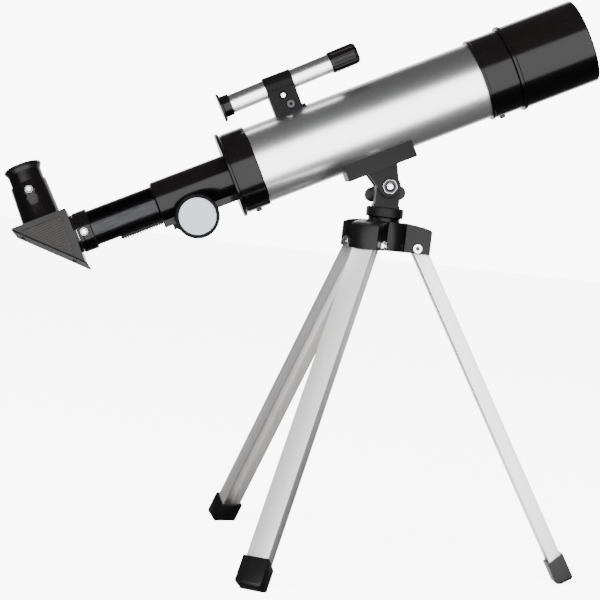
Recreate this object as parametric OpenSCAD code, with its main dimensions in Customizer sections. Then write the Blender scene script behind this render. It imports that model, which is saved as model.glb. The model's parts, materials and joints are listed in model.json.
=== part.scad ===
// Small refractor telescope on a folding tabletop tripod.
// Units are millimetres. The origin is on the floor, directly under the pan axis,
// +Z is up and +X is the level direction that the tube points in.

/* [Pose] */
// Angle of the tube above the level
tube_tilt = 27.3; // [0:0.1:45]
// Turn of the star diagonal about the draw tube
diagonal_lean = 13; // [-30:1:30]
// Direction of the right leg, measured from +X
leg_turn = 2; // [-10:1:10]

/* [Main tube] */
// Outside diameter of the main tube
tube_od = 58; // [54:0.5:72]
// Wall of the main tube
tube_wall = 1.2; // [0.8:0.1:2]
// Length of the main tube
tube_len = 208; // [180:1:260]
// Distance from the rear end of the tube to the middle of the saddle
saddle_at = 103; // [90:1:125]
// Aperture of the light baffle inside the tube
baffle_bore = 40; // [30:1:46]

/* [Rear cell] */
// Wall of the plastic cells where they sleeve over the tube
cell_wall = 1.6; // [1.2:0.1:2.4]
// Length of the rear cell's sleeve over the tube
rear_sleeve = 17; // [12:0.5:24]
// Thickness of the rear cell's end web
rear_web = 2.5; // [2:0.1:4]
// Height of the lip round the rear edge
rear_lip = 1.8; // [0.8:0.1:3]
// Width of the lip round the rear edge
rear_lip_len = 2.8; // [2:0.1:4.5]

/* [Front cell and objective] */
// Length of the front cell's sleeve over the tube
front_sleeve = 14; // [10:0.5:20]
// Length of the front cell ahead of the tube, up to the dew shield
front_nose = 10.3; // [9.5:0.1:14]
// Length of the spigot that carries the dew shield
spigot_len = 8; // [6:0.5:12]
// Wall of the dew shield over the spigot
shield_wall = 2.1; // [1.6:0.1:3]
// Length of the dew shield
shield_len = 60.7; // [45:0.1:80]
// Height of the lip round the rear edge of the dew shield
shield_lip = 1.3; // [0.8:0.1:3]
// Diameter of the objective lenses
lens_d = 50; // [40:1:50]
// Radius of the curved lens faces
lens_curve = 150; // [120:5:250]
// Edge thickness of the front lens
crown_edge = 2.8; // [2:0.1:3.2]
// Edge thickness of the rear lens
flint_edge = 4.6; // [4:0.1:5]

/* [Focuser] */
// Wall of the draw tube
draw_wall = 1.1; // [0.7:0.1:1.6]
// Length of the draw tube
draw_len = 120; // [100:1:140]
// Length of draw tube outside the focuser housing
draw_out = 60; // [50:1:70]
// Wall of the focuser housing round the draw tube
housing_wall = 2.5; // [1.6:0.1:4]
// Length of the focuser housing behind the rear cell
housing_len = 58; // [50:1:75]
// Distance from the housing's rear end to the pinion shaft
pinion_at = 25; // [22:0.5:30]
// Diameter of the focus knobs
knob_d = 33; // [24:0.5:40]
// Thickness of the focus knobs
knob_t = 10; // [7:0.5:14]
// Gap between each knob and the side of the focuser housing
knob_clear = 2.5; // [1:0.1:6]
// Width of the black rim round the disc in each knob
knob_rim = 2.7; // [1.5:0.1:5]
// Diameter of the pinion shaft
shaft_d = 4; // [3:0.1:4.2]

/* [Diagonal and eyepiece] */
// Diameter of the standard eyepiece barrel
barrel_d = 24.5; // [20:0.1:30]
// Margin of the diagonal housing at each side of the barrel
diagonal_side = 3.25; // [3:0.05:5]
// Length of the eyepiece socket above the housing
socket_len = 30; // [22:0.5:36]
// Height of the eyepiece above its socket
eyepiece_rise = 14; // [12:0.5:20]

/* [Finder] */
// Outside diameter of the finder tube
finder_od = 14; // [12:0.5:18]
// Length of the finder tube
finder_len = 92; // [80:1:116]
// Gap between the main tube and the finder tube
finder_stand = 14.2; // [10:0.2:20]
// Upward angle of the finder against the main tube
finder_cant = 1.6; // [0:0.1:3]
// Distance from the saddle's middle back to the finder bracket's middle
finder_back = 49.4; // [35:0.2:60]
// Width of the finder bracket along the tube
bracket_len = 21.4; // [16:0.2:26]

/* [Head] */
// Thickness of the saddle block under the tube
saddle_floor = 6.6; // [4:0.1:10]
// Length of the saddle block
saddle_len = 54; // [46:0.5:64]
// Width of the saddle block
saddle_w = 35; // [30:0.5:42]
// Distance from the tilt axis up to the underside of the saddle block
saddle_under = 14; // [12.5:0.1:15]
// Thickness of the yoke's tongue
tongue_t = 18; // [14:0.2:22]
// Thickness of each saddle ear
ear_t = 3.6; // [3:0.1:5]
// Diameter of the tilt bolt
tilt_bolt_d = 6; // [5:0.1:6.4]
// Reach of the three lobes of the tilt knob
tilt_knob_r = 16.9; // [14:0.1:19]
// Diameter of the pan disc
pan_d = 28; // [24:0.5:32]
// Thickness of the pan disc
pan_t = 7.4; // [5:0.1:9]

/* [Tripod] */
// Height of the leg pivots above the floor
pivot_height = 241.4; // [200:0.2:300]
// Distance of the leg pivots from the pan axis
pivot_reach = 26; // [25:0.2:32]
// Angle of the open legs from the vertical
leg_splay = 30.5; // [24:0.5:34]
// Width of the channel legs
leg_w = 16.4; // [13:0.1:20]
// Depth of the channel legs
leg_d = 10.2; // [9:0.1:12]
// Wall of the channel legs
leg_wall = 1.3; // [0.8:0.1:1.8]
// Diameter of the leg pivot bolts
leg_bolt_d = 4; // [3:0.1:4.4]
// Height of the tripod hub
hub_h = 21.5; // [20:0.1:26]
// Height of the hub's centre boss, under the pan disc
boss_h = 2.5; // [1:0.1:6]
// Wall of the hub's arms at each side of a leg
arm_wall = 2.3; // [2:0.1:5]
// Length of the rubber feet along the legs
foot_len = 21; // [16:0.5:28]
// Wall of the rubber feet
foot_wall = 1.7; // [1.2:0.1:2.5]

/* [Hidden] */
$fn = 96;

// Clearances
seat_gap = 0.05;     // between pieces that are fixed together
run_gap = 0.06;      // round a turning shaft
slide_gap = 0.08;    // round the draw tube
plug_gap = 0.05;     // round a barrel that pushes into a socket
side_gap = 0.3;      // between faces that pass each other
cut = 1;             // how far a cutting shape runs past the face it cuts

// Stations along the tube axis; 0 is over the tilt axis, + towards the objective
tube_r = tube_od / 2;
tube_rise = saddle_under + saddle_floor + tube_r;
tube_rear = -saddle_at;
tube_front = tube_rear + tube_len;
flange_t = 2.4;
cell_rear = tube_rear - flange_t - 2 * seat_gap - rear_web;
cell_r = tube_r + seat_gap + cell_wall;
shoulder_t = 2.4;
lens_seat = tube_front + seat_gap + shoulder_t;
nose_front = tube_front + front_nose;
spigot_front = nose_front + spigot_len;
shield_rear = nose_front + side_gap;
shield_front = shield_rear + shield_len;
spigot_r = cell_r - 1.2;
shield_bore = spigot_r + plug_gap;
shield_r = shield_bore + shield_wall;
shield_mouth_r = shield_bore + 0.6;
lens_r = lens_d / 2;
lens_air = 0.5;
spacer_w = 1.2;
retainer_w = 1.6;
cell_screw_turns = [270, 30];

// Focuser
barrel_r = barrel_d / 2;
draw_r = barrel_r + plug_gap + draw_wall;
bore_r = draw_r + slide_gap;
housing_r = draw_r + housing_wall + 0.1;
housing_rear = cell_rear - housing_len;
draw_rear = housing_rear - draw_out;
gear_module = 0.6;
gear_teeth = 10;
gear_r = gear_module * gear_teeth / 2;
gear_pitch = PI * gear_module;
gear_width = 5;
addendum = 0.5;
dedendum = 0.65;
backlash = 0.12;
rack_root_gap = 1.95;
rack_line = draw_r + rack_root_gap + dedendum;
rack_half = gear_width / 2;
rack_rear = draw_rear + 27;
rack_front = draw_rear + draw_len - 6;
shaft_r = shaft_d / 2;
shaft_drop = rack_line + gear_r;
pinion_s = housing_rear + pinion_at;
keel_half = 8;
slot_half = rack_half + 0.5;
slot_floor = rack_line + addendum + 0.5;
bay_half = gear_r + addendum + 0.9;
cover_rear = housing_rear + 6;
cover_front = pinion_s + 16.5;
cover_t = 3.6;
cover_belly = gear_r + addendum + 0.9;
cover_skin = 1.2;
cover_screw_y = 5.6;
cover_screw_s = [cover_rear + 4, cover_front - 3.4];
collar_len = 11;
collar_wall = 1.8;
collar_rear = draw_rear - 1.5;
collar_r = draw_r + seat_gap + collar_wall;
knob_r = knob_d / 2;
knob_cap_r = knob_r - knob_rim;
knob_inner = housing_r + knob_clear;
thumb_r = 2.9;
thumb_shank_r = 1.5;

// Diagonal, measured from the point where the light turns
diagonal_w = barrel_d + 2 * diagonal_side;
elbow_reach = barrel_r + 7.45;
elbow_rise = barrel_r + 5.75;
diagonal_leg = elbow_reach + elbow_rise + 4.7;
neck_r = collar_r - 0.6;
neck_len = 1.8;
elbow_s = collar_rear - neck_len - side_gap - elbow_reach;
hyp_mid_x = elbow_reach - diagonal_leg / 2;
hyp_mid_z = elbow_rise - diagonal_leg / 2;
hyp_depth = (diagonal_leg - elbow_reach - elbow_rise) / sqrt(2);
diagonal_wall = 2;
socket_bore = barrel_r + plug_gap;
socket_top = elbow_rise + socket_len;
socket_r_top = socket_bore + 1.4;
socket_r_low = socket_bore + 2.5;
light_r = barrel_r - 1.65;
plug_len = 24.6;
panel_top = 4.3;
panel_right = 5;
panel_hyp = 1.8;
panel_recess = 0.8;
panel_t = 0.4;
cover_plate_t = 1;
eye_screw_z = socket_top - 7.8;
eye_seat = socket_top + side_gap;
eye_top = socket_top + eyepiece_rise;
eye_body_r = barrel_r + 0.3;

// Finder
finder_r = finder_od / 2;
finder_height = tube_r + finder_stand + finder_r;
bracket_wall = 1.1;
bracket_mid = -finder_back;
finder_rear = bracket_mid - 44.6;
finder_front = finder_rear + finder_len;
finder_cup_len = 8.3;
ring_len = 22;
ring_r = finder_r + 1.1;
bracket_r = finder_r + seat_gap + bracket_wall;
bracket_side = bracket_r - 1.1;
bracket_clamp_z = finder_height - 8.6;
bracket_nut_z = tube_r + 4.6;

// Head
saddle_bottom = saddle_under - tube_rise;
ear_in = tongue_t / 2 + side_gap;
ear_out = ear_in + ear_t;
ear_r = 7.6;
ear_root = 11.7;
tilt_bolt_r = tilt_bolt_d / 2;
tongue_half = 8.9;
yoke_neck = 6.9;
lobe_r = 5.5;
lobe_t = 6.4;
lobe_from = max(saddle_w / 2, ear_out + 1) + side_gap + 0.4;
lobe_to = lobe_from + lobe_t;
pan_r = pan_d / 2;
pan_bolt_r = 2.5;

// Tripod
hub_bottom = pivot_height - 3.9;
hub_top = hub_bottom + hub_h;
boss_top = hub_top + boss_h;
boss_r = pan_r - 2;
boss_key = 0.9;
pan_bottom = boss_top + side_gap;
pan_top = pan_bottom + pan_t;
tilt_height = pan_top + yoke_neck + tongue_half;
column_r = 19.5;
arm_half = leg_w / 2 + 0.3 + arm_wall;
hub_r = pivot_reach + 11.2;
arm_end_wall = 2.4;
leg_out = 6.7;
leg_in = leg_out - leg_d;
leg_above = 7.6;
leg_bolt_r = leg_bolt_d / 2;
foot_in = leg_in - foot_wall - seat_gap;
foot_drop = 1.6;
leg_reach = (pivot_height + foot_in * sin(leg_splay) + foot_drop) / cos(leg_splay);
leg_names = ["front", "right", "rear"];
leg_angles = [leg_turn - 120, leg_turn, leg_turn + 120];

// ---- Frames ----

// Places a piece in the tube's frame: +X along the tube, +Z square to it
module in_tube() {
    translate([0, 0, tilt_height])
        rotate([0, -tube_tilt, 0])
            translate([0, 0, tube_rise])
                children();
}

// Places a piece in the diagonal's frame: origin at the elbow, +Z up the eyepiece
module in_diagonal() {
    in_tube()
        translate([elbow_s, 0, 0])
            rotate([-diagonal_lean, 0, 0])
                children();
}

// Places a piece on the diagonal's sloping face: +Z inward
module in_slope() {
    in_diagonal()
        translate([hyp_mid_x, 0, hyp_mid_z])
            rotate([0, 45, 0])
                children();
}

// Places a piece in the finder's frame: origin on its axis over the tilt axis
module in_finder() {
    in_tube()
        finder_axis()
            children();
}

// Lies along the finder, which turns about its bracket's middle
module finder_axis() {
    translate([bracket_mid, 0, finder_height])
        rotate([0, -finder_cant, 0])
            translate([-bracket_mid, 0, 0])
                children();
}

// Places a piece in the tilt axis's frame, turned with the tube
module on_tilt_axis() {
    translate([0, 0, tilt_height])
        rotate([0, -tube_tilt, 0])
            children();
}

// Places a piece in one leg's frame: origin at its pivot, +X out of the open leg's
// closed face, +Z up the leg
module in_leg(angle) {
    rotate([0, 0, angle])
        translate([pivot_reach, 0, pivot_height])
            rotate([0, -leg_splay, 0])
                children();
}

// ---- Shapes ----

// Turns an outline of [station, radius] points about the X axis
module turned(outline) {
    rotate([0, 90, 0])
        rotate_extrude()
            polygon([for (p = outline) [p[1], p[0]]]);
}

// Turns an outline of [radius, height] points about the Z axis
module lathe(outline) {
    rotate_extrude()
        polygon(outline);
}

// Round bar along X
module bar_x(from, to, r) {
    translate([from, 0, 0])
        rotate([0, 90, 0])
            cylinder(h = to - from, r = r);
}

// Round bar along Y
module bar_y(from, to, r) {
    translate([0, from, 0])
        rotate([-90, 0, 0])
            cylinder(h = to - from, r = r);
}

// Round tube along X
module pipe_x(from, to, r_out, r_in) {
    difference() {
        bar_x(from, to, r_out);
        bar_x(from - cut, to + cut, r_in);
    }
}

// Block given by its limits on each axis
module block(x, y, z) {
    translate([x[0], y[0], z[0]])
        cube([x[1] - x[0], y[1] - y[0], z[1] - z[0]]);
}

// Small round-headed screw with a cross slot, head up from z = 0
module round_screw(head_r, head_h, shank_r, shank_len) {
    difference() {
        union() {
            cylinder(h = head_h * 0.5, r = head_r);
            translate([0, 0, head_h * 0.5])
                cylinder(h = head_h * 0.5, r1 = head_r, r2 = head_r * 0.6);
            translate([0, 0, -shank_len])
                cylinder(h = shank_len + head_h * 0.5, r = shank_r);
        }
        for (turn = [0, 90])
            rotate([0, 0, turn])
                translate([-head_r * 0.5, -head_r * 0.11, head_h * 0.55])
                    cube([head_r, head_r * 0.22, head_h]);
    }
}

// Points round a circle, moved in and out by turns, as a knurl's outline
function knurl(count, r_out, r_in) = [
    for (i = [0 : 2 * count - 1])
        let (r = i % 2 == 0 ? r_out : r_in)
            [r * cos(180 * i / count), r * sin(180 * i / count)]
];

// Knurled thumbscrew, head up from z = 0
module thumbscrew(shank_len) {
    linear_extrude(3.2)
        polygon(knurl(20, thumb_r, thumb_r - 0.3));
    translate([0, 0, 3.2])
        cylinder(h = 0.8, r1 = thumb_r - 0.3, r2 = thumb_r - 1.1);
    translate([0, 0, -shank_len])
        cylinder(h = shank_len + 0.5, r = thumb_shank_r);
}

// Six-sided nut with a round hole, standing on z = 0
module hex_nut(flats, thick, hole_r) {
    difference() {
        intersection() {
            rotate([0, 0, 30])
                cylinder(h = thick, r = flats / sqrt(3), $fn = 6);
            cylinder(h = thick, r1 = flats * 0.62, r2 = flats * 0.53);
        }
        translate([0, 0, -cut])
            cylinder(h = thick + 2 * cut, r = hole_r);
        translate([0, 0, thick - 0.6])
            cylinder(h = 0.6 + cut, r1 = hole_r, r2 = hole_r + 0.6 + cut);
    }
}

// Heights of a spherical face at even steps out to radius r
function bulge(curve, r, steps) = [
    for (i = [0 : steps])
        let (y = r * i / steps)
            [y, sqrt(pow(curve, 2) - pow(y, 2)) - sqrt(pow(curve, 2) - pow(r, 2))]
];

// Lens of two spherical faces along X; a negative sign makes a face hollow
module lens(from, edge, r, curve, rear_sign, front_sign) {
    arc = bulge(curve, r, 8);
    rear = [for (p = arc) [from - rear_sign * p[1], p[0]]];
    front = [for (i = [8 : -1 : 0]) [from + edge + front_sign * arc[i][1], arc[i][0]]];
    turned(concat(rear, front));
}

// ---- Main tube and cells ----

// Holes through the tube wall for the saddle screws and the finder stud
module tube_wall_holes() {
    for (s = saddle_screw_stations())
        translate([s, 0, -tube_r - cut])
            cylinder(h = tube_wall + 2 * cut, r = 1.8);
    translate([bracket_mid, 0, tube_r - tube_wall - cut])
        cylinder(h = tube_wall + 2 * cut, r = 1.8);
}

function saddle_screw_stations() = [-saddle_len / 3, saddle_len / 3];

module main_tube() {
    color("silver")
        in_tube()
            difference() {
                pipe_x(tube_rear, tube_front, tube_r, tube_r - tube_wall);
                tube_wall_holes();
            }
}

module light_baffle() {
    baffle_r = tube_r - tube_wall - seat_gap;
    color("black")
        in_tube()
            translate([28, 0, 0])
                turned([
                    [0, baffle_bore / 2], [0, baffle_r], [5, baffle_r],
                    [5, baffle_r - 1], [1.2, baffle_r - 1], [1.2, baffle_bore / 2]
                ]);
}

// Slot that the rack runs in, below the draw tube
module rack_slot(from, to) {
    block([from, to], [-slot_half, slot_half], [-slot_floor, 0]);
}

module rear_cell() {
    groove = 1.6;
    sleeve_front = tube_rear + rear_sleeve;
    color("black")
        in_tube()
            difference() {
                turned([
                    [cell_rear, 0], [cell_rear, cell_r + rear_lip - 0.6],
                    [cell_rear + 0.6, cell_r + rear_lip],
                    [cell_rear + rear_lip_len - 0.6, cell_r + rear_lip],
                    [cell_rear + rear_lip_len, cell_r + rear_lip - 0.6],
                    [cell_rear + rear_lip_len, cell_r - 0.5],
                    [cell_rear + rear_lip_len + groove, cell_r - 0.5],
                    [cell_rear + rear_lip_len + groove, cell_r],
                    [sleeve_front - 0.7, cell_r], [sleeve_front, cell_r - 0.7],
                    [sleeve_front, 0]
                ]);
                bar_x(cell_rear - cut, sleeve_front + cut, housing_r + seat_gap);
                bar_x(cell_rear + rear_web, sleeve_front + cut, tube_r + seat_gap);
                rack_slot(cell_rear - cut, tube_rear);
                for (turn = cell_screw_turns)
                    rotate([turn - 90, 0, 0])
                        translate([rear_screw_s(), 0, tube_r])
                            cylinder(h = 8, r = 1.3);
            }
}

function rear_screw_s() = tube_rear + rear_sleeve * 0.42;

// Screws that hold a cell on the tube
module cell_screws(station) {
    color("dimgray")
        in_tube()
            for (turn = cell_screw_turns)
                rotate([turn - 90, 0, 0])
                    translate([station, 0, cell_r + 0.1])
                        round_screw(2.4, 1.9, 1.2, cell_wall);
}

module rear_cell_screws() {
    cell_screws(rear_screw_s());
}

function front_screw_s() = tube_front - front_sleeve * 0.4;

module front_cell() {
    sleeve_rear = tube_front - front_sleeve;
    color("black")
        in_tube()
            difference() {
                turned([
                    [sleeve_rear, 0], [sleeve_rear, cell_r + 0.1],
                    [sleeve_rear + 0.3, cell_r + 0.4], [sleeve_rear + 2, cell_r + 0.4],
                    [sleeve_rear + 2.4, cell_r],
                    [nose_front, cell_r], [nose_front, spigot_r],
                    [spigot_front - 0.5, spigot_r], [spigot_front, spigot_r - 0.5],
                    [spigot_front, 0]
                ]);
                bar_x(sleeve_rear - cut, tube_front + seat_gap, tube_r + seat_gap);
                bar_x(sleeve_rear, lens_seat + cut, lens_r - 1.8);
                bar_x(lens_seat, spigot_front + cut, lens_r + seat_gap);
                for (turn = cell_screw_turns)
                    rotate([turn - 90, 0, 0])
                        translate([front_screw_s(), 0, tube_r])
                            cylinder(h = 8, r = 1.3);
            }
}

module front_cell_screws() {
    cell_screws(front_screw_s());
}

module objective_rear_lens() {
    color("lightblue")
        in_tube()
            lens(lens_seat + seat_gap, flint_edge, lens_r, lens_curve, 0, -1);
}

// Height of a lens face's bulge where a ring of the given width meets it
function ring_sag(width) =
    sqrt(pow(lens_curve, 2) - pow(lens_r - width, 2))
    - sqrt(pow(lens_curve, 2) - pow(lens_r, 2));

module lens_spacer() {
    from = lens_seat + flint_edge + 2 * seat_gap;
    color("dimgray")
        in_tube()
            pipe_x(from, from + lens_air, lens_r, lens_r - spacer_w);
}

function crown_rear() =
    lens_seat + flint_edge + lens_air + 3 * seat_gap + ring_sag(spacer_w);

module objective_front_lens() {
    color("lightblue")
        in_tube()
            lens(crown_rear(), crown_edge, lens_r, lens_curve, 1, 1);
}

module lens_retaining_ring() {
    from = crown_rear() + crown_edge + seat_gap + ring_sag(retainer_w);
    color("black")
        in_tube()
            difference() {
                pipe_x(from, from + 2.2, lens_r, lens_r - retainer_w);
                for (turn = [0, 180])
                    rotate([turn, 0, 0])
                        block([from + 1.2, from + 3], [-1, 1], [0, lens_r + cut]);
            }
}

module dew_shield() {
    bore_end = spigot_front + 1;
    color("black")
        in_tube()
            turned([
                [shield_rear, shield_bore], [shield_rear, shield_r + shield_lip - 0.6],
                [shield_rear + 0.6, shield_r + shield_lip],
                [shield_rear + 2.6, shield_r + shield_lip],
                [shield_rear + 3.4, shield_r], [shield_front - 1, shield_r],
                [shield_front - 0.3, shield_r - 0.3], [shield_front, shield_r - 0.9],
                [shield_front, shield_mouth_r], [bore_end, shield_mouth_r],
                [bore_end, shield_bore]
            ]);
}

// ---- Focuser ----

// Bore for the pinion shaft, split between the housing's keel and its cover
module pinion_bore() {
    translate([pinion_s, 0, -shaft_drop])
        bar_y(-keel_half - cut, keel_half + cut, shaft_r + run_gap);
}

module focuser_housing() {
    flange_r = tube_r - seat_gap;
    color("black")
        in_tube()
            difference() {
                union() {
                    turned([
                        [housing_rear, 0], [housing_rear, housing_r - 1.2],
                        [housing_rear + 1.2, housing_r], [tube_rear - seat_gap, housing_r],
                        [tube_rear - seat_gap, 0]
                    ]);
                    bar_x(tube_rear - seat_gap - flange_t, tube_rear - seat_gap, flange_r);
                    block([housing_rear, cell_rear - seat_gap], [-keel_half, keel_half],
                        [-shaft_drop, 0]);
                }
                bar_x(housing_rear - cut, tube_rear + cut, bore_r);
                rack_slot(housing_rear - cut, tube_rear + cut);
                block([pinion_s - bay_half, pinion_s + bay_half],
                    [-rack_half - 0.8, rack_half + 0.8], [-shaft_drop - cut, 0]);
                pinion_bore();
                for (s = cover_screw_s, y = [-cover_screw_y, cover_screw_y])
                    translate([s, y, -shaft_drop - cut])
                        cylinder(h = cut + 4.2, r = 1.1);
            }
}

module pinion_cover() {
    top = -shaft_drop - 2 * seat_gap;
    belly_r = cover_belly + cover_skin;
    color("black")
        in_tube()
            difference() {
                union() {
                    block([cover_rear, cover_front], [-keel_half, keel_half],
                        [top - cover_t, top]);
                    intersection() {
                        translate([pinion_s, 0, -shaft_drop])
                            bar_y(-keel_half, keel_half, belly_r);
                        block([pinion_s - belly_r, pinion_s + belly_r],
                            [-keel_half, keel_half], [-shaft_drop - belly_r, top]);
                    }
                }
                translate([pinion_s, 0, -shaft_drop])
                    bar_y(-rack_half - 0.8, rack_half + 0.8, cover_belly);
                pinion_bore();
                for (s = cover_screw_s, y = [-cover_screw_y, cover_screw_y])
                    translate([s, y, -shaft_drop - cover_t - cut])
                        cylinder(h = cover_t + 2 * cut, r = 1.1);
            }
}

module pinion_cover_screws() {
    color("gray")
        in_tube()
            for (s = cover_screw_s, y = [-cover_screw_y, cover_screw_y])
                translate([s, y, -shaft_drop - cover_t - 3 * seat_gap])
                    rotate([180, 0, 0])
                        round_screw(1.9, 1.3, 1, cover_t + 3.6);
}

// Outline of the pinion: involute flanks that narrow below the base circle
function involute(a) = tan(a) - a * PI / 180;
function flank_angle(r) =
    let (base = gear_r * cos(20), a = acos(base / r))
        (gear_pitch / 2 - backlash) / 2 / gear_r * 180 / PI
        + (involute(20) - involute(a)) * 180 / PI;
function pinion_half(side) =
    let (
        base = gear_r * cos(20) + 0.001,
        tip = gear_r + addendum,
        radii = [for (i = [0 : 3]) base + (tip - base) * i / 3]
    )
    concat([[gear_r - dedendum, side * 6.4]], [for (r = radii) [r, side * flank_angle(r)]]);
function reversed(list) = [for (i = [len(list) - 1 : -1 : 0]) list[i]];
function pinion_outline() = [
    for (tooth = [0 : gear_teeth - 1])
        for (p = concat(pinion_half(-1), reversed(pinion_half(1))))
            let (a = (tooth + 0.5) * 360 / gear_teeth + 90 + p[1])
                [p[0] * cos(a), p[0] * sin(a)]
];

module focus_pinion() {
    half = knob_inner + knob_t - 2.2;
    color("gray")
        in_tube()
            translate([pinion_s, 0, -shaft_drop]) {
                bar_y(-half, half, shaft_r);
                rotate([90, 0, 0])
                    linear_extrude(gear_width, center = true)
                        polygon(pinion_outline());
            }
}

// Focus knob with a knurled rim; side is -1 for the near one and 1 for the far one
module focus_knob(side) {
    inner = knob_inner;
    color("black")
        in_tube()
            translate([pinion_s, 0, -shaft_drop])
                rotate([-90 * side, 0, 0])
                    difference() {
                        intersection() {
                            translate([0, 0, inner])
                                linear_extrude(knob_t)
                                    polygon(knurl(60, knob_r, knob_r - 0.45));
                            lathe([
                                [0, inner], [knob_r - 0.9, inner], [knob_r, inner + 0.9],
                                [knob_r, inner + knob_t - 0.9],
                                [knob_r - 0.9, inner + knob_t], [0, inner + knob_t]
                            ]);
                        }
                        translate([0, 0, inner + knob_t - 1.4])
                            cylinder(h = 1.4 + cut, r = knob_cap_r + seat_gap);
                        translate([0, 0, inner - cut])
                            cylinder(h = knob_t - 2 + cut, r = shaft_r + seat_gap);
                        translate([0, 0, inner - cut])
                            difference() {
                                cylinder(h = 3 + cut, r = knob_r - 3);
                                cylinder(h = 3 + cut, r = shaft_r + 3);
                            }
                    }
}

module focus_knob_near() {
    focus_knob(-1);
}

module focus_knob_far() {
    focus_knob(1);
}

module knob_caps() {
    inner = knob_inner + knob_t;
    color("whitesmoke")
        in_tube()
            translate([pinion_s, 0, -shaft_drop])
                for (side = [-1, 1])
                    rotate([-90 * side, 0, 0])
                        lathe([
                            [0, inner - 1.35], [knob_cap_r, inner - 1.35],
                            [knob_cap_r, inner - 0.35], [knob_cap_r - 0.3, inner - 0.05],
                            [0, inner - 0.05]
                        ]);
}

module draw_tube() {
    color("black")
        in_tube()
            difference() {
                pipe_x(draw_rear, draw_rear + draw_len, draw_r, barrel_r + plug_gap);
                translate([collar_screw_s(), 0, 0])
                    bar_y(-draw_r - cut, 0, thumb_shank_r + run_gap);
            }
}

// Outline of the rack, teeth down, in mesh with the pinion's upper gap
function rack_tooth(s) =
    let (
        mid = (gear_pitch / 2 - backlash) / 2,
        tip = mid - addendum * tan(20),
        root = mid + dedendum * tan(20)
    )
    [
        [s - root, -rack_line + dedendum], [s - tip, -rack_line - addendum],
        [s + tip, -rack_line - addendum], [s + root, -rack_line + dedendum]
    ];
function rack_outline() =
    let (
        first = ceil((rack_rear + 1 - pinion_s) / gear_pitch),
        last = floor((rack_front - 1 - pinion_s) / gear_pitch)
    )
    concat(
        [[rack_rear, -draw_r + 1], [rack_rear, -rack_line + dedendum]],
        [for (i = [first : last]) for (p = rack_tooth(pinion_s + i * gear_pitch)) p],
        [[rack_front, -rack_line + dedendum], [rack_front, -draw_r + 1]]
    );

module focus_rack() {
    color("dimgray")
        in_tube()
            difference() {
                rotate([90, 0, 0])
                    linear_extrude(gear_width, center = true)
                        polygon(rack_outline());
                bar_x(rack_rear - cut, rack_front + cut, draw_r + seat_gap);
            }
}

function collar_screw_s() = collar_rear + collar_len * 0.45;

module draw_tube_collar() {
    color("black")
        in_tube()
            difference() {
                turned([
                    [collar_rear, 0], [collar_rear, collar_r - 0.6],
                    [collar_rear + 0.6, collar_r], [collar_rear + 3, collar_r],
                    [collar_rear + 3.3, collar_r - 0.35],
                    [collar_rear + 3.6, collar_r], [collar_rear + collar_len - 0.6, collar_r],
                    [collar_rear + collar_len, collar_r - 0.6], [collar_rear + collar_len, 0]
                ]);
                bar_x(draw_rear - seat_gap, draw_rear + draw_len, draw_r + seat_gap);
                bar_x(collar_rear - cut, collar_rear + collar_len, barrel_r + plug_gap);
                translate([collar_screw_s(), 0, 0])
                    bar_y(-collar_r - cut, 0, thumb_shank_r + run_gap);
            }
}

module collar_thumbscrew() {
    color("silver")
        in_tube()
            translate([collar_screw_s(), -collar_r - 0.4, 0])
                rotate([90, 0, 0])
                    thumbscrew(collar_r + 0.4 - barrel_r - side_gap);
}

// ---- Diagonal ----

// Triangle between the housing's square corner and its slope, drawn in by set amounts
function diagonal_triangle(top, right, slope) =
    let (
        x = elbow_reach - right,
        z = elbow_rise - top,
        sum = elbow_reach + elbow_rise - diagonal_leg + slope * sqrt(2)
    )
    [[x, z], [sum - z, z], [x, sum - x]];

// Stands a flat outline in the XZ plane, between two Y values
module across(from, to) {
    translate([0, to, 0])
        rotate([90, 0, 0])
            linear_extrude(to - from)
                children();
}

mirror_len = 36;
mirror_w = 25;
mirror_u = (elbow_rise - elbow_reach) / (2 * sqrt(2)) * 1.4;

module diagonal_housing() {
    half = diagonal_w / 2;
    color("dimgray")
        in_diagonal()
            difference() {
                union() {
                    across(-half, half)
                        polygon(diagonal_triangle(0, 0, 0));
                    bar_x(elbow_reach - 0.5, elbow_reach + neck_len, neck_r);
                    translate([0, 0, elbow_rise - 0.5])
                        cylinder(h = socket_len + 0.5, r1 = socket_r_low, r2 = socket_r_top);
                    translate([0, 0, eye_screw_z])
                        bar_y(-socket_r_low - 0.6, 0, thumb_shank_r + 2.6);
                    translate([0, 0, eye_screw_z - 1])
                        rotate([0, 45, 0])
                            block([0, 6.5], [-socket_r_low - 0.4, 0], [-6.5, 0]);
                }
                across(-light_r - 0.6, light_r + 0.6)
                    polygon(diagonal_triangle(diagonal_wall, diagonal_wall, hyp_depth - 0.2));
                translate([hyp_mid_x, 0, hyp_mid_z])
                    rotate([0, 45, 0])
                        block([mirror_u - mirror_len / 2 - 0.1, mirror_u + mirror_len / 2 + 0.1],
                            [-mirror_w / 2 - 0.1, mirror_w / 2 + 0.1],
                            [-cut, hyp_depth]);
                translate([0, 0, 4])
                    cylinder(h = socket_top, r = light_r);
                translate([0, 0, elbow_rise + 1.5])
                    cylinder(h = socket_len + cut, r = socket_bore);
                bar_x(elbow_reach - diagonal_wall - cut, elbow_reach + neck_len + cut,
                    barrel_r + plug_gap);
                translate([0, 0, eye_screw_z])
                    bar_y(-socket_r_low - 3, 0, thumb_shank_r + run_gap);
                for (side = [-1, 1])
                    across(side > 0 ? half - panel_recess : -half - cut,
                        side > 0 ? half + cut : -half + panel_recess)
                        polygon(diagonal_triangle(panel_top, panel_right, panel_hyp));
                for (x = slope_screw_x(), y = slope_screw_y())
                    translate([hyp_mid_x, 0, hyp_mid_z])
                        rotate([0, 45, 0])
                            translate([x, y, -cut])
                                cylinder(h = cut + 3.2, r = 0.9);
            }
}

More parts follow.
